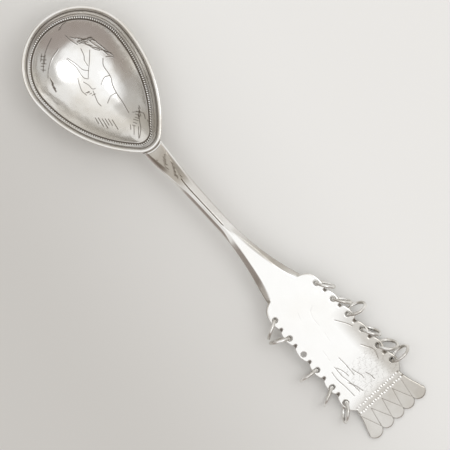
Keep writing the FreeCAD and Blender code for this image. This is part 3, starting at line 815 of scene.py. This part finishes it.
def make_handle(finish):
    """Tongue, stem, blade and comb from one sheet: a grid is drawn to the outline, the
    ring holes are cut, it is thickened, and both faces are brought to their forms."""
    plan, gaps, drops = handle_plan()
    bm = bmesh.new()
    bmesh.ops.create_grid(bm, x_segments=len(plan[0]) - 1, y_segments=len(plan) - 1, size=1.0)
    write_points(bm, [(x, y, 0) for x, y in np.concatenate(plan)])
    write_marks(bm, "gap", np.concatenate(gaps))
    write_marks(bm, "drop", np.concatenate(drops))
    drill_holes(bm)
    made = bmesh.ops.extrude_face_region(bm, geom=bm.faces[:], use_keep_orig=True)["geom"]
    lower = {g for g in made if isinstance(g, bmesh.types.BMVert)}
    under = np.array([v in lower for v in bm.verts])
    gap, drop, rim = (read_marks(bm, name) for name in ("gap", "drop", "hole_rim"))
    points = read_points(bm)
    points[:, 1] += SIDE_SHIFT
    x = points[:, 0]
    on_blade = (x > BLADE_START) & ~under
    on_neck = (x > LIP_END) & (x < SPUR) & ~under

    def marked(where, lines, width):
        marks = np.zeros(len(points))
        marks[where] = nearness(points[where, :2], lines, width)
        return marks

    # where the cuts are, their half width and their share of a full cut's depth
    cuts = (
        (on_blade, [curved(line) for line in BLADE_LINES], 0.24, 0.75),
        (on_blade, [curved(line) for line in WORN_LINES], 0.2, 0.35),
        (on_blade, comb_cuts(), 0.24, 0.6), (on_blade, row_beds(), 0.6, 0.62),
        (on_blade, scribble(), 0.18, 0.36),
        (on_neck, neck_pits(), 0.28, 0.75), (on_neck, [filed_step()], 0.34, 0.95),
    )
    near = np.maximum.reduce([depth * marked(*lines) for *lines, depth in cuts])
    bead = np.clip(1.6 * marked(on_blade, row_beads(), 0.36), 0, 1)
    near *= 1 - bead
    # the filed nicks are cut down and marked dark: painted shade for the shadow in each notch
    nick = marked(on_blade, filed_notches(), 0.75)

    # top: the long arc, less the facets, the rounded edge and what is engraved
    inside = np.clip(EDGE_R - gap, 0, EDGE_R)
    rounded = EDGE_R - np.sqrt(EDGE_R**2 - inside**2)
    top = top_arc(x) - drop - rounded - CUT * near - RIM_CUT * rim - NICK_CUT * nick
    top = top + BEAD_RISE * bead

    # the solder's fillet stands up beside the lip, with a dark seam between the two
    bowl_x, bowl_y, _ = turned(points, -BOWL_TURN).T
    from_lip = np.hypot(bowl_x - HEEL_X, bowl_y) - HEEL_R
    by_lip = (bowl_x > HEEL_X) & ~under
    fillet = by_lip * tent(from_lip, 0.55, 0.3)
    seam = by_lip * tent(from_lip, 0.12, 0.2)
    top = top + FILLET_RISE * fillet * (2 - fillet)

    # under the bowl the top is buried in the wall, within the line of the lip
    beyond = np.hypot(np.maximum(0, bowl_x - HEEL_X), bowl_y) - (HEEL_R - LIP_R - 0.02)
    in_bowl = (x < LIP_END + 0.5) & (beyond < 0)
    share = np.clip(np.hypot(bowl_x / LIP_END, bowl_y / TIP_R), 0, 0.98)
    top = np.where(in_bowl, np.minimum(top, outer_height(share) + 0.2), top)

    # underside: the thickness below the arc, and below the heel a tongue that thins out
    lean = (x - ARC_X) / ARC_R
    bottom = top_arc(x) - thickness(x) / np.sqrt(1 - lean**2)
    under_r = np.clip(thickness(x) * 0.3, 0.15, 0.6)
    inside = np.clip(under_r - gap, 0, under_r)
    bottom = bottom + (under_r - np.sqrt(under_r**2 - inside**2)) * 0.9 + RIM_CUT * rim
    tongue = outer_height(share) - 1.2 * np.clip((x - TONGUE_END) / 4.0, -0.1, 1)
    merge = rise_from(x, LIP_END - 1.5, 5.0)
    merge = merge * merge * (3 - 2 * merge)
    tongue = np.minimum(tongue, bottom + 3)
    bottom = np.where(x < LIP_END + 3.5, tongue * (1 - merge) + bottom * merge, bottom)
    bottom = np.maximum(np.minimum(bottom, top - 0.05), 0.0)

    points[:, 2] = np.where(under, bottom, np.maximum(top, 0.05))
    write_points(bm, points)
    # the cut mark: tarnish in the engraving, darker hole rims, the dark seam, and painted shade in
    # the filed nicks
    write_marks(bm, "cut", np.maximum.reduce([near, 0.25 * rim, nick, seam]))
    worn_bright = np.maximum(fillet, 0.8 * bead)
    # the grey mark, partly painted shade; the worn fillet and beads stay bright
    write_marks(bm, "grey_and_shade", grey_and_shade(x, points[:, 1], gap) * (1 - worn_bright))
    return finish_piece(bm, "handle_engraved", "spoon", finish, ["handle"])


# rings

# Swing from straight out towards the comb, droop and lean of every ring, in degrees.
RING_POSES = {
    "ring_right_1": (55, 18, 5), "ring_right_2": (55, 18, 3), "ring_right_3": (12, 8, 19),
    "ring_right_4": (58, 12, 10), "ring_right_5": (42, 1, 19), "ring_right_6": (3, -12, 15),
    "ring_left_1": (30, 18, 7), "ring_left_2": (-27, 18, 3), "ring_left_4": (-6, 14, 9),
    "ring_left_5": (25, -1, 9), "ring_left_6": (46, -20, -6),
}
RING_R, WIRE_R, SEAM = 3.0, 0.5, 0.15


def make_ring(name, pose, finish):
    """Wire bent round into a ring: a round section spun about the ring's middle, with a
    narrow seam on the far side from its hole and slight flats from the bending."""
    joint = next(j for j in frame["joints"] if j["child"] == name)
    hand = 1 if "right" in name else -1
    hole = Vector(joint["pos_m"]) / MM
    up = Vector(joint["axis"]) * -hand
    out = Vector((0, hand, 0))
    to_comb = Vector((up.z, 0, -up.x))
    swing, droop, lean = (math.radians(a) for a in pose)
    level = out * math.cos(swing) + to_comb * math.sin(swing)
    away = level * math.cos(droop) - up * math.sin(droop)
    through = up * math.cos(droop) + level * math.sin(droop)
    plane = away.cross(through) * math.cos(lean) - through * math.sin(lean)
    centre = hole + away * RING_R

    bm = bmesh.new()
    bmesh.ops.create_circle(bm, segments=20, radius=WIRE_R, cap_ends=True)
    stand = Matrix.Translation((RING_R, 0, 0)) @ Matrix.Rotation(math.pi / 2, 4, "X")
    bmesh.ops.transform(bm, matrix=stand, verts=bm.verts[:])
    start = bm.faces[:]
    arc = 2 * math.pi - SEAM / RING_R
    bmesh.ops.spin(
        bm, geom=start, cent=(0, 0, 0), axis=(0, 0, 1), angle=arc, steps=120,
        use_merge=False, use_duplicate=False,
    )
    number = sum(ord(c) for c in name)
    grey = {}
    for vert in bm.verts:
        turn = math.atan2(vert.co.y, vert.co.x)
        ring = Vector((math.cos(turn), math.sin(turn), 0)) * RING_R
        slack = 1 - 0.015 * (1 + math.sin(5 * turn + number)) - 0.01 * (1 + math.sin(11 * turn))
        vert.co = ring + (vert.co - ring) * slack
        grey[vert] = 0.3 + 0.25 * math.sin(3 * turn + number)
    basis = Matrix((away, plane.cross(away), plane)).transposed().to_4x4()
    place = Matrix.Translation(centre) @ basis @ Matrix.Rotation(SEAM / RING_R / 2, 4, "Z")
    bmesh.ops.transform(bm, matrix=place, verts=bm.verts[:])
    write_marks(bm, "grey_and_shade", grey.values())
    return finish_piece(bm, f"{name}_wire", name, finish, [name])


# finishes

def node_group(name, inputs, outputs):
    group = bpy.data.node_groups.new(name, "ShaderNodeTree")
    for label, kind, value in inputs:
        socket = group.interface.new_socket(label, in_out="INPUT", socket_type=kind)
        socket.default_value = value
    for label, kind in outputs:
        group.interface.new_socket(label, in_out="OUTPUT", socket_type=kind)
    return group, group.nodes.new("NodeGroupInput"), group.nodes.new("NodeGroupOutput")


def add_math(tree, operation, first, second):
    node = tree.nodes.new("ShaderNodeMath")
    node.operation = operation
    for socket, value in zip(node.inputs, (first, second)):
        if isinstance(value, (int, float)):
            socket.default_value = value
        else:
            tree.links.new(value, socket)
    return node.outputs[0]


def noise(tree, where, scale, detail=2.0):
    node = tree.nodes.new("ShaderNodeTexNoise")
    node.inputs["Scale"].default_value = scale
    node.inputs["Detail"].default_value = detail
    tree.links.new(where, node.inputs["Vector"])
    return node.outputs["Fac"]


def map_range(tree, value, start, end):
    node = tree.nodes.new("ShaderNodeMapRange")
    node.inputs["From Min"].default_value = start
    node.inputs["From Max"].default_value = end
    tree.links.new(value, node.inputs["Value"])
    return node


def mix_in(tree, amount, under, colour):
    """Lay a colour over another one, or over a socket's, by an amount from 0 to 1."""
    layer = tree.nodes.new("ShaderNodeMix")
    layer.data_type = "RGBA"
    tree.links.new(amount, layer.inputs["Factor"])
    if isinstance(under, tuple):
        layer.inputs["A"].default_value = under
    else:
        tree.links.new(under, layer.inputs["A"])
    layer.inputs["B"].default_value = colour
    return layer.outputs["Result"]


def hand_finish_group():
    """The surface left by planishing, filing and years of polishing: slow waves, fine
    scratches that run both ways, and a slow patchiness for the tarnish."""
    group, given, made = node_group(
        "hand_finish",
        [("Waves", "NodeSocketFloat", 1.0), ("Scratches", "NodeSocketFloat", 1.0)],
        [("Height", "NodeSocketFloat"), ("Scratch", "NodeSocketFloat"), ("Patch", "NodeSocketFloat")],
    )
    links = group.links
    where = group.nodes.new("ShaderNodeTexCoord").outputs["Object"]
    waves = noise(group, where, 260.0, 1.0)
    streaks = []
    for turn, across, along in ((0.35, 400, 7000), (-0.8, 5200, 500), (1.2, 900, 9000)):
        mapping = group.nodes.new("ShaderNodeMapping")
        mapping.inputs["Rotation"].default_value = (0, 0, turn)
        mapping.inputs["Scale"].default_value = (across, along, 2000)
        links.new(where, mapping.inputs["Vector"])
        streak = noise(group, mapping.outputs["Vector"], 1.0, 3.0)
        streaks.append(map_range(group, streak, 0.62, 0.72).outputs["Result"])
    scratch = add_math(group, "MAXIMUM", add_math(group, "MAXIMUM", *streaks[:2]), streaks[2])
    high = add_math(group, "MULTIPLY", waves, given.outputs["Waves"])
    fine = add_math(group, "MULTIPLY", scratch, given.outputs["Scratches"])
    height = add_math(group, "SUBTRACT", high, add_math(group, "MULTIPLY", fine, 0.02))
    patch = noise(group, where, 90.0, 4.0)
    links.new(height, made.inputs["Height"])
    links.new(fine, made.inputs["Scratch"])
    links.new(patch, made.inputs["Patch"])
    return group


# silver's colours: polished, under thin tarnish, greyed (in part as painted shade), and dark in the
# cuts (and as painted shade in the filed nicks)
BRIGHT, WARM = (0.93, 0.925, 0.91, 1), (0.72, 0.66, 0.56, 1)
DULL_AND_SHADED, DARK = (0.42, 0.385, 0.335, 1), (0.14, 0.115, 0.09, 1)


def tarnish_and_shade_group():
    """Silver's colour: bright metal, warm with thin tarnish, greyed by the grey mark, which on the
    handle is partly painted shade, and dark where the graver's cuts hold tarnish and in the filed
    nicks, where the dark is painted shade.
    """
    group, given, made = node_group(
        "tarnish",
        [("Patch", "NodeSocketFloat", 0.5), ("In Cuts", "NodeSocketFloat", 0.8),
         ("Overall", "NodeSocketFloat", 0.1)],
        [("Color", "NodeSocketColor"), ("Dull", "NodeSocketFloat")],
    )
    links = group.links
    cut, grey = (group.nodes.new("ShaderNodeAttribute") for _ in range(2))
    cut.attribute_name, grey.attribute_name = "cut", "grey_and_shade"
    spread = map_range(group, cut.outputs["Fac"], 0.15, 0.65)
    dark = add_math(group, "MULTIPLY", spread.outputs["Result"], given.outputs["In Cuts"])
    patchy = map_range(group, given.outputs["Patch"], 0.46, 0.72)
    warm = add_math(group, "MULTIPLY", patchy.outputs["Result"], given.outputs["Overall"])
    uneven = add_math(group, "ADD", add_math(group, "MULTIPLY", given.outputs["Patch"], 1.2), 0.4)
    # the grey mark, partly painted shade on the handle's bevels, neck and comb
    greyed_and_shaded = add_math(group, "MULTIPLY", grey.outputs["Fac"], uneven)
    shown = BRIGHT
    for amount, colour in ((warm, WARM), (greyed_and_shaded, DULL_AND_SHADED), (dark, DARK)):
        shown = mix_in(group, amount, shown, colour)
    links.new(shown, made.inputs["Color"])
    links.new(add_math(group, "MAXIMUM", dark, warm), made.inputs["Dull"])
    return group


def silver(name, groups, waves, scratches, in_cuts, overall, roughness):
    """Polished silver with its own amounts of working marks and tarnish."""
    material = bpy.data.materials.new(name)
    material.use_nodes = True
    tree = material.node_tree
    shader = tree.nodes["Principled BSDF"]
    shader.inputs["Metallic"].default_value = 1.0
    surface, colour = (tree.nodes.new("ShaderNodeGroup") for _ in groups)
    surface.node_tree, colour.node_tree = groups
    surface.inputs["Waves"].default_value = waves
    surface.inputs["Scratches"].default_value = scratches
    colour.inputs["In Cuts"].default_value = in_cuts
    colour.inputs["Overall"].default_value = overall
    tree.links.new(surface.outputs["Patch"], colour.inputs["Patch"])
    tree.links.new(colour.outputs["Color"], shader.inputs["Base Color"])
    rough = tree.nodes.new("ShaderNodeMapRange")
    rough.inputs["To Min"].default_value = roughness
    rough.inputs["To Max"].default_value = roughness + 0.35
    wear = add_math(tree, "MAXIMUM", colour.outputs["Dull"], add_math(
        tree, "MULTIPLY", surface.outputs["Scratch"], 0.25))
    tree.links.new(wear, rough.inputs["Value"])
    tree.links.new(rough.outputs["Result"], shader.inputs["Roughness"])
    bump = tree.nodes.new("ShaderNodeBump")
    bump.inputs["Strength"].default_value = 0.6
    bump.inputs["Distance"].default_value = 0.0002
    tree.links.new(surface.outputs["Height"], bump.inputs["Height"])
    tree.links.new(bump.outputs["Normal"], shader.inputs["Normal"])
    return material


groups = (hand_finish_group(), tarnish_and_shade_group())
bowl_silver = silver("bowl_silver", groups, 0.9, 0.9, 0.95, 0.5, 0.14)
handle_silver = silver("handle_silver", groups, 0.5, 1.0, 0.9, 0.12, 0.18)
ring_silver = silver("ring_silver", groups, 0.3, 0.6, 0.5, 0.4, 0.2)

make_bowl(bowl_silver)
make_border(bowl_silver)
make_handle(handle_silver)
for ring_name, ring_pose in RING_POSES.items():
    make_ring(ring_name, ring_pose, ring_silver)


# table, light and camera

def lay_table():
    bm = bmesh.new()
    bmesh.ops.create_grid(bm, x_segments=1, y_segments=1, size=1.6)
    bmesh.ops.translate(bm, vec=(0.06, 0, -0.00002), verts=bm.verts[:])
    mesh = bpy.data.meshes.new("table")
    bm.to_mesh(mesh)
    bm.free()
    table = bpy.data.objects.new("table", mesh)
    bpy.context.scene.collection.objects.link(table)
    paint = bpy.data.materials.new("pale_table_painted_light")
    paint.use_nodes = True
    tree = paint.node_tree
    shader = tree.nodes["Principled BSDF"]
    where = tree.nodes.new("ShaderNodeTexCoord")
    split = tree.nodes.new("ShaderNodeSeparateXYZ")
    painted_light = tree.nodes.new("ShaderNodeValToRGB")
    tree.links.new(where.outputs["Object"], split.inputs["Vector"])
    # painted light: the table is painted paler to the right of the spoon and towards its comb, and
    # darker to its left, standing in for the fall of the light
    across = add_math(tree, "MULTIPLY", split.outputs["Y"], 9.0)
    along = add_math(tree, "MULTIPLY", split.outputs["X"], 1.5)
    shifted = add_math(tree, "ADD", add_math(tree, "ADD", across, along), 0.53)
    tree.links.new(shifted, painted_light.inputs["Fac"])
    tree.links.new(painted_light.outputs["Color"], shader.inputs["Base Color"])
    painted_light.color_ramp.interpolation = "EASE"
    painted_light.color_ramp.elements[0].color = (0.68, 0.665, 0.64, 1)
    painted_light.color_ramp.elements[1].color = (0.94, 0.935, 0.92, 1)
    shader.inputs["Roughness"].default_value = 0.9
    shader.inputs["Specular IOR Level"].default_value = 0.1
    mesh.materials.append(paint)


def hang_lamp(name, target, direction, distance, size, power):
    light = bpy.data.lights.new(name, "AREA")
    light.shape = "SQUARE"
    light.size, light.energy = size, power
    lamp = bpy.data.objects.new(name, light)
    bpy.context.scene.collection.objects.link(lamp)
    lamp.visible_camera = False
    back = Vector(direction).normalized()
    lamp.location = Vector(target) + back * distance
    lamp.rotation_mode = "QUATERNION"
    lamp.rotation_quaternion = (-back).to_track_quat("-Z", "Y")


def light_sky():
    """A white ceiling overhead, a pale wall past the bowl's right side, and grey walls
    that are dimmest on the side of the comb's left corner."""
    world = bpy.data.worlds.new("studio")
    bpy.context.scene.world = world
    world.use_nodes = True
    tree = world.node_tree
    background = tree.nodes["Background"]
    direction = tree.nodes.new("ShaderNodeTexCoord")
    split = tree.nodes.new("ShaderNodeSeparateXYZ")
    tree.links.new(direction.outputs["Generated"], split.inputs["Vector"])
    walls = tree.nodes.new("ShaderNodeValToRGB")
    x, y, z = split.outputs
    across = add_math(tree, "ADD", add_math(tree, "MULTIPLY", y, 0.5), 0.5)
    tree.links.new(across, walls.inputs["Fac"])
    walls.color_ramp.elements[0].color = (0.40, 0.38, 0.36, 1)
    walls.color_ramp.elements[1].color = (0.56, 0.55, 0.53, 1)
    shown = walls.outputs["Color"]
    left = add_math(tree, "MULTIPLY", add_math(tree, "SUBTRACT", x, y), 0.7)
    right = add_math(tree, "SUBTRACT", y, add_math(tree, "MULTIPLY", x, 0.77))
    # two edges of every layer, as a direction's measure with its outside and inside
    layers = (
        ((left, 0.1, 0.5), (z, 0.9, 0.7), (0.34, 0.30, 0.275, 1)),
        ((x, -0.35, -0.65), (z, 0.9, 0.7), (0.50, 0.485, 0.46, 1)),
        ((right, 0.52, 0.68), (z, 0.9, 0.7), (0.80, 0.79, 0.77, 1)),
        ((z, 0.58, 0.8), (x, -0.56, -0.38), (0.945, 0.945, 0.94, 1)),
    )
    for *edges, colour in layers:
        masks = []
        for edge in edges:
            reach = map_range(tree, *edge)
            reach.interpolation_type = "SMOOTHSTEP"
            masks.append(reach.outputs["Result"])
        shown = mix_in(tree, add_math(tree, "MULTIPLY", *masks), shown, colour)
    tree.links.new(shown, background.inputs["Color"])
    background.inputs["Strength"].default_value = 1.1


def set_camera():
    data = bpy.data.cameras.new("camera")
    camera = bpy.data.objects.new("camera", data)
    bpy.context.scene.collection.objects.link(camera)
    bpy.context.scene.camera = camera
    distance, across = 1.2, 0.135
    data.sensor_width = 36
    data.lens = data.sensor_width * distance / across
    right, up = Vector((0.6794, 0.7337, 0)), Vector((-0.7337, 0.6794, 0))
    turn = Matrix((right, up, right.cross(up))).transposed().to_4x4()
    camera.matrix_world = Matrix.Translation((0.0594, -0.0008, distance + 0.006)) @ turn


lay_table()
light_sky()
hang_lamp("window", (0.03, 0, 0), (0.38, 0.46, 1.0), 0.7, 0.28, 0.36)
hang_lamp("far_window", (0, 0, 0), (-0.32, -0.34, 1.0), 0.9, 0.2, 0.12)
set_camera()
bpy.context.scene.view_settings.view_transform = "Standard"
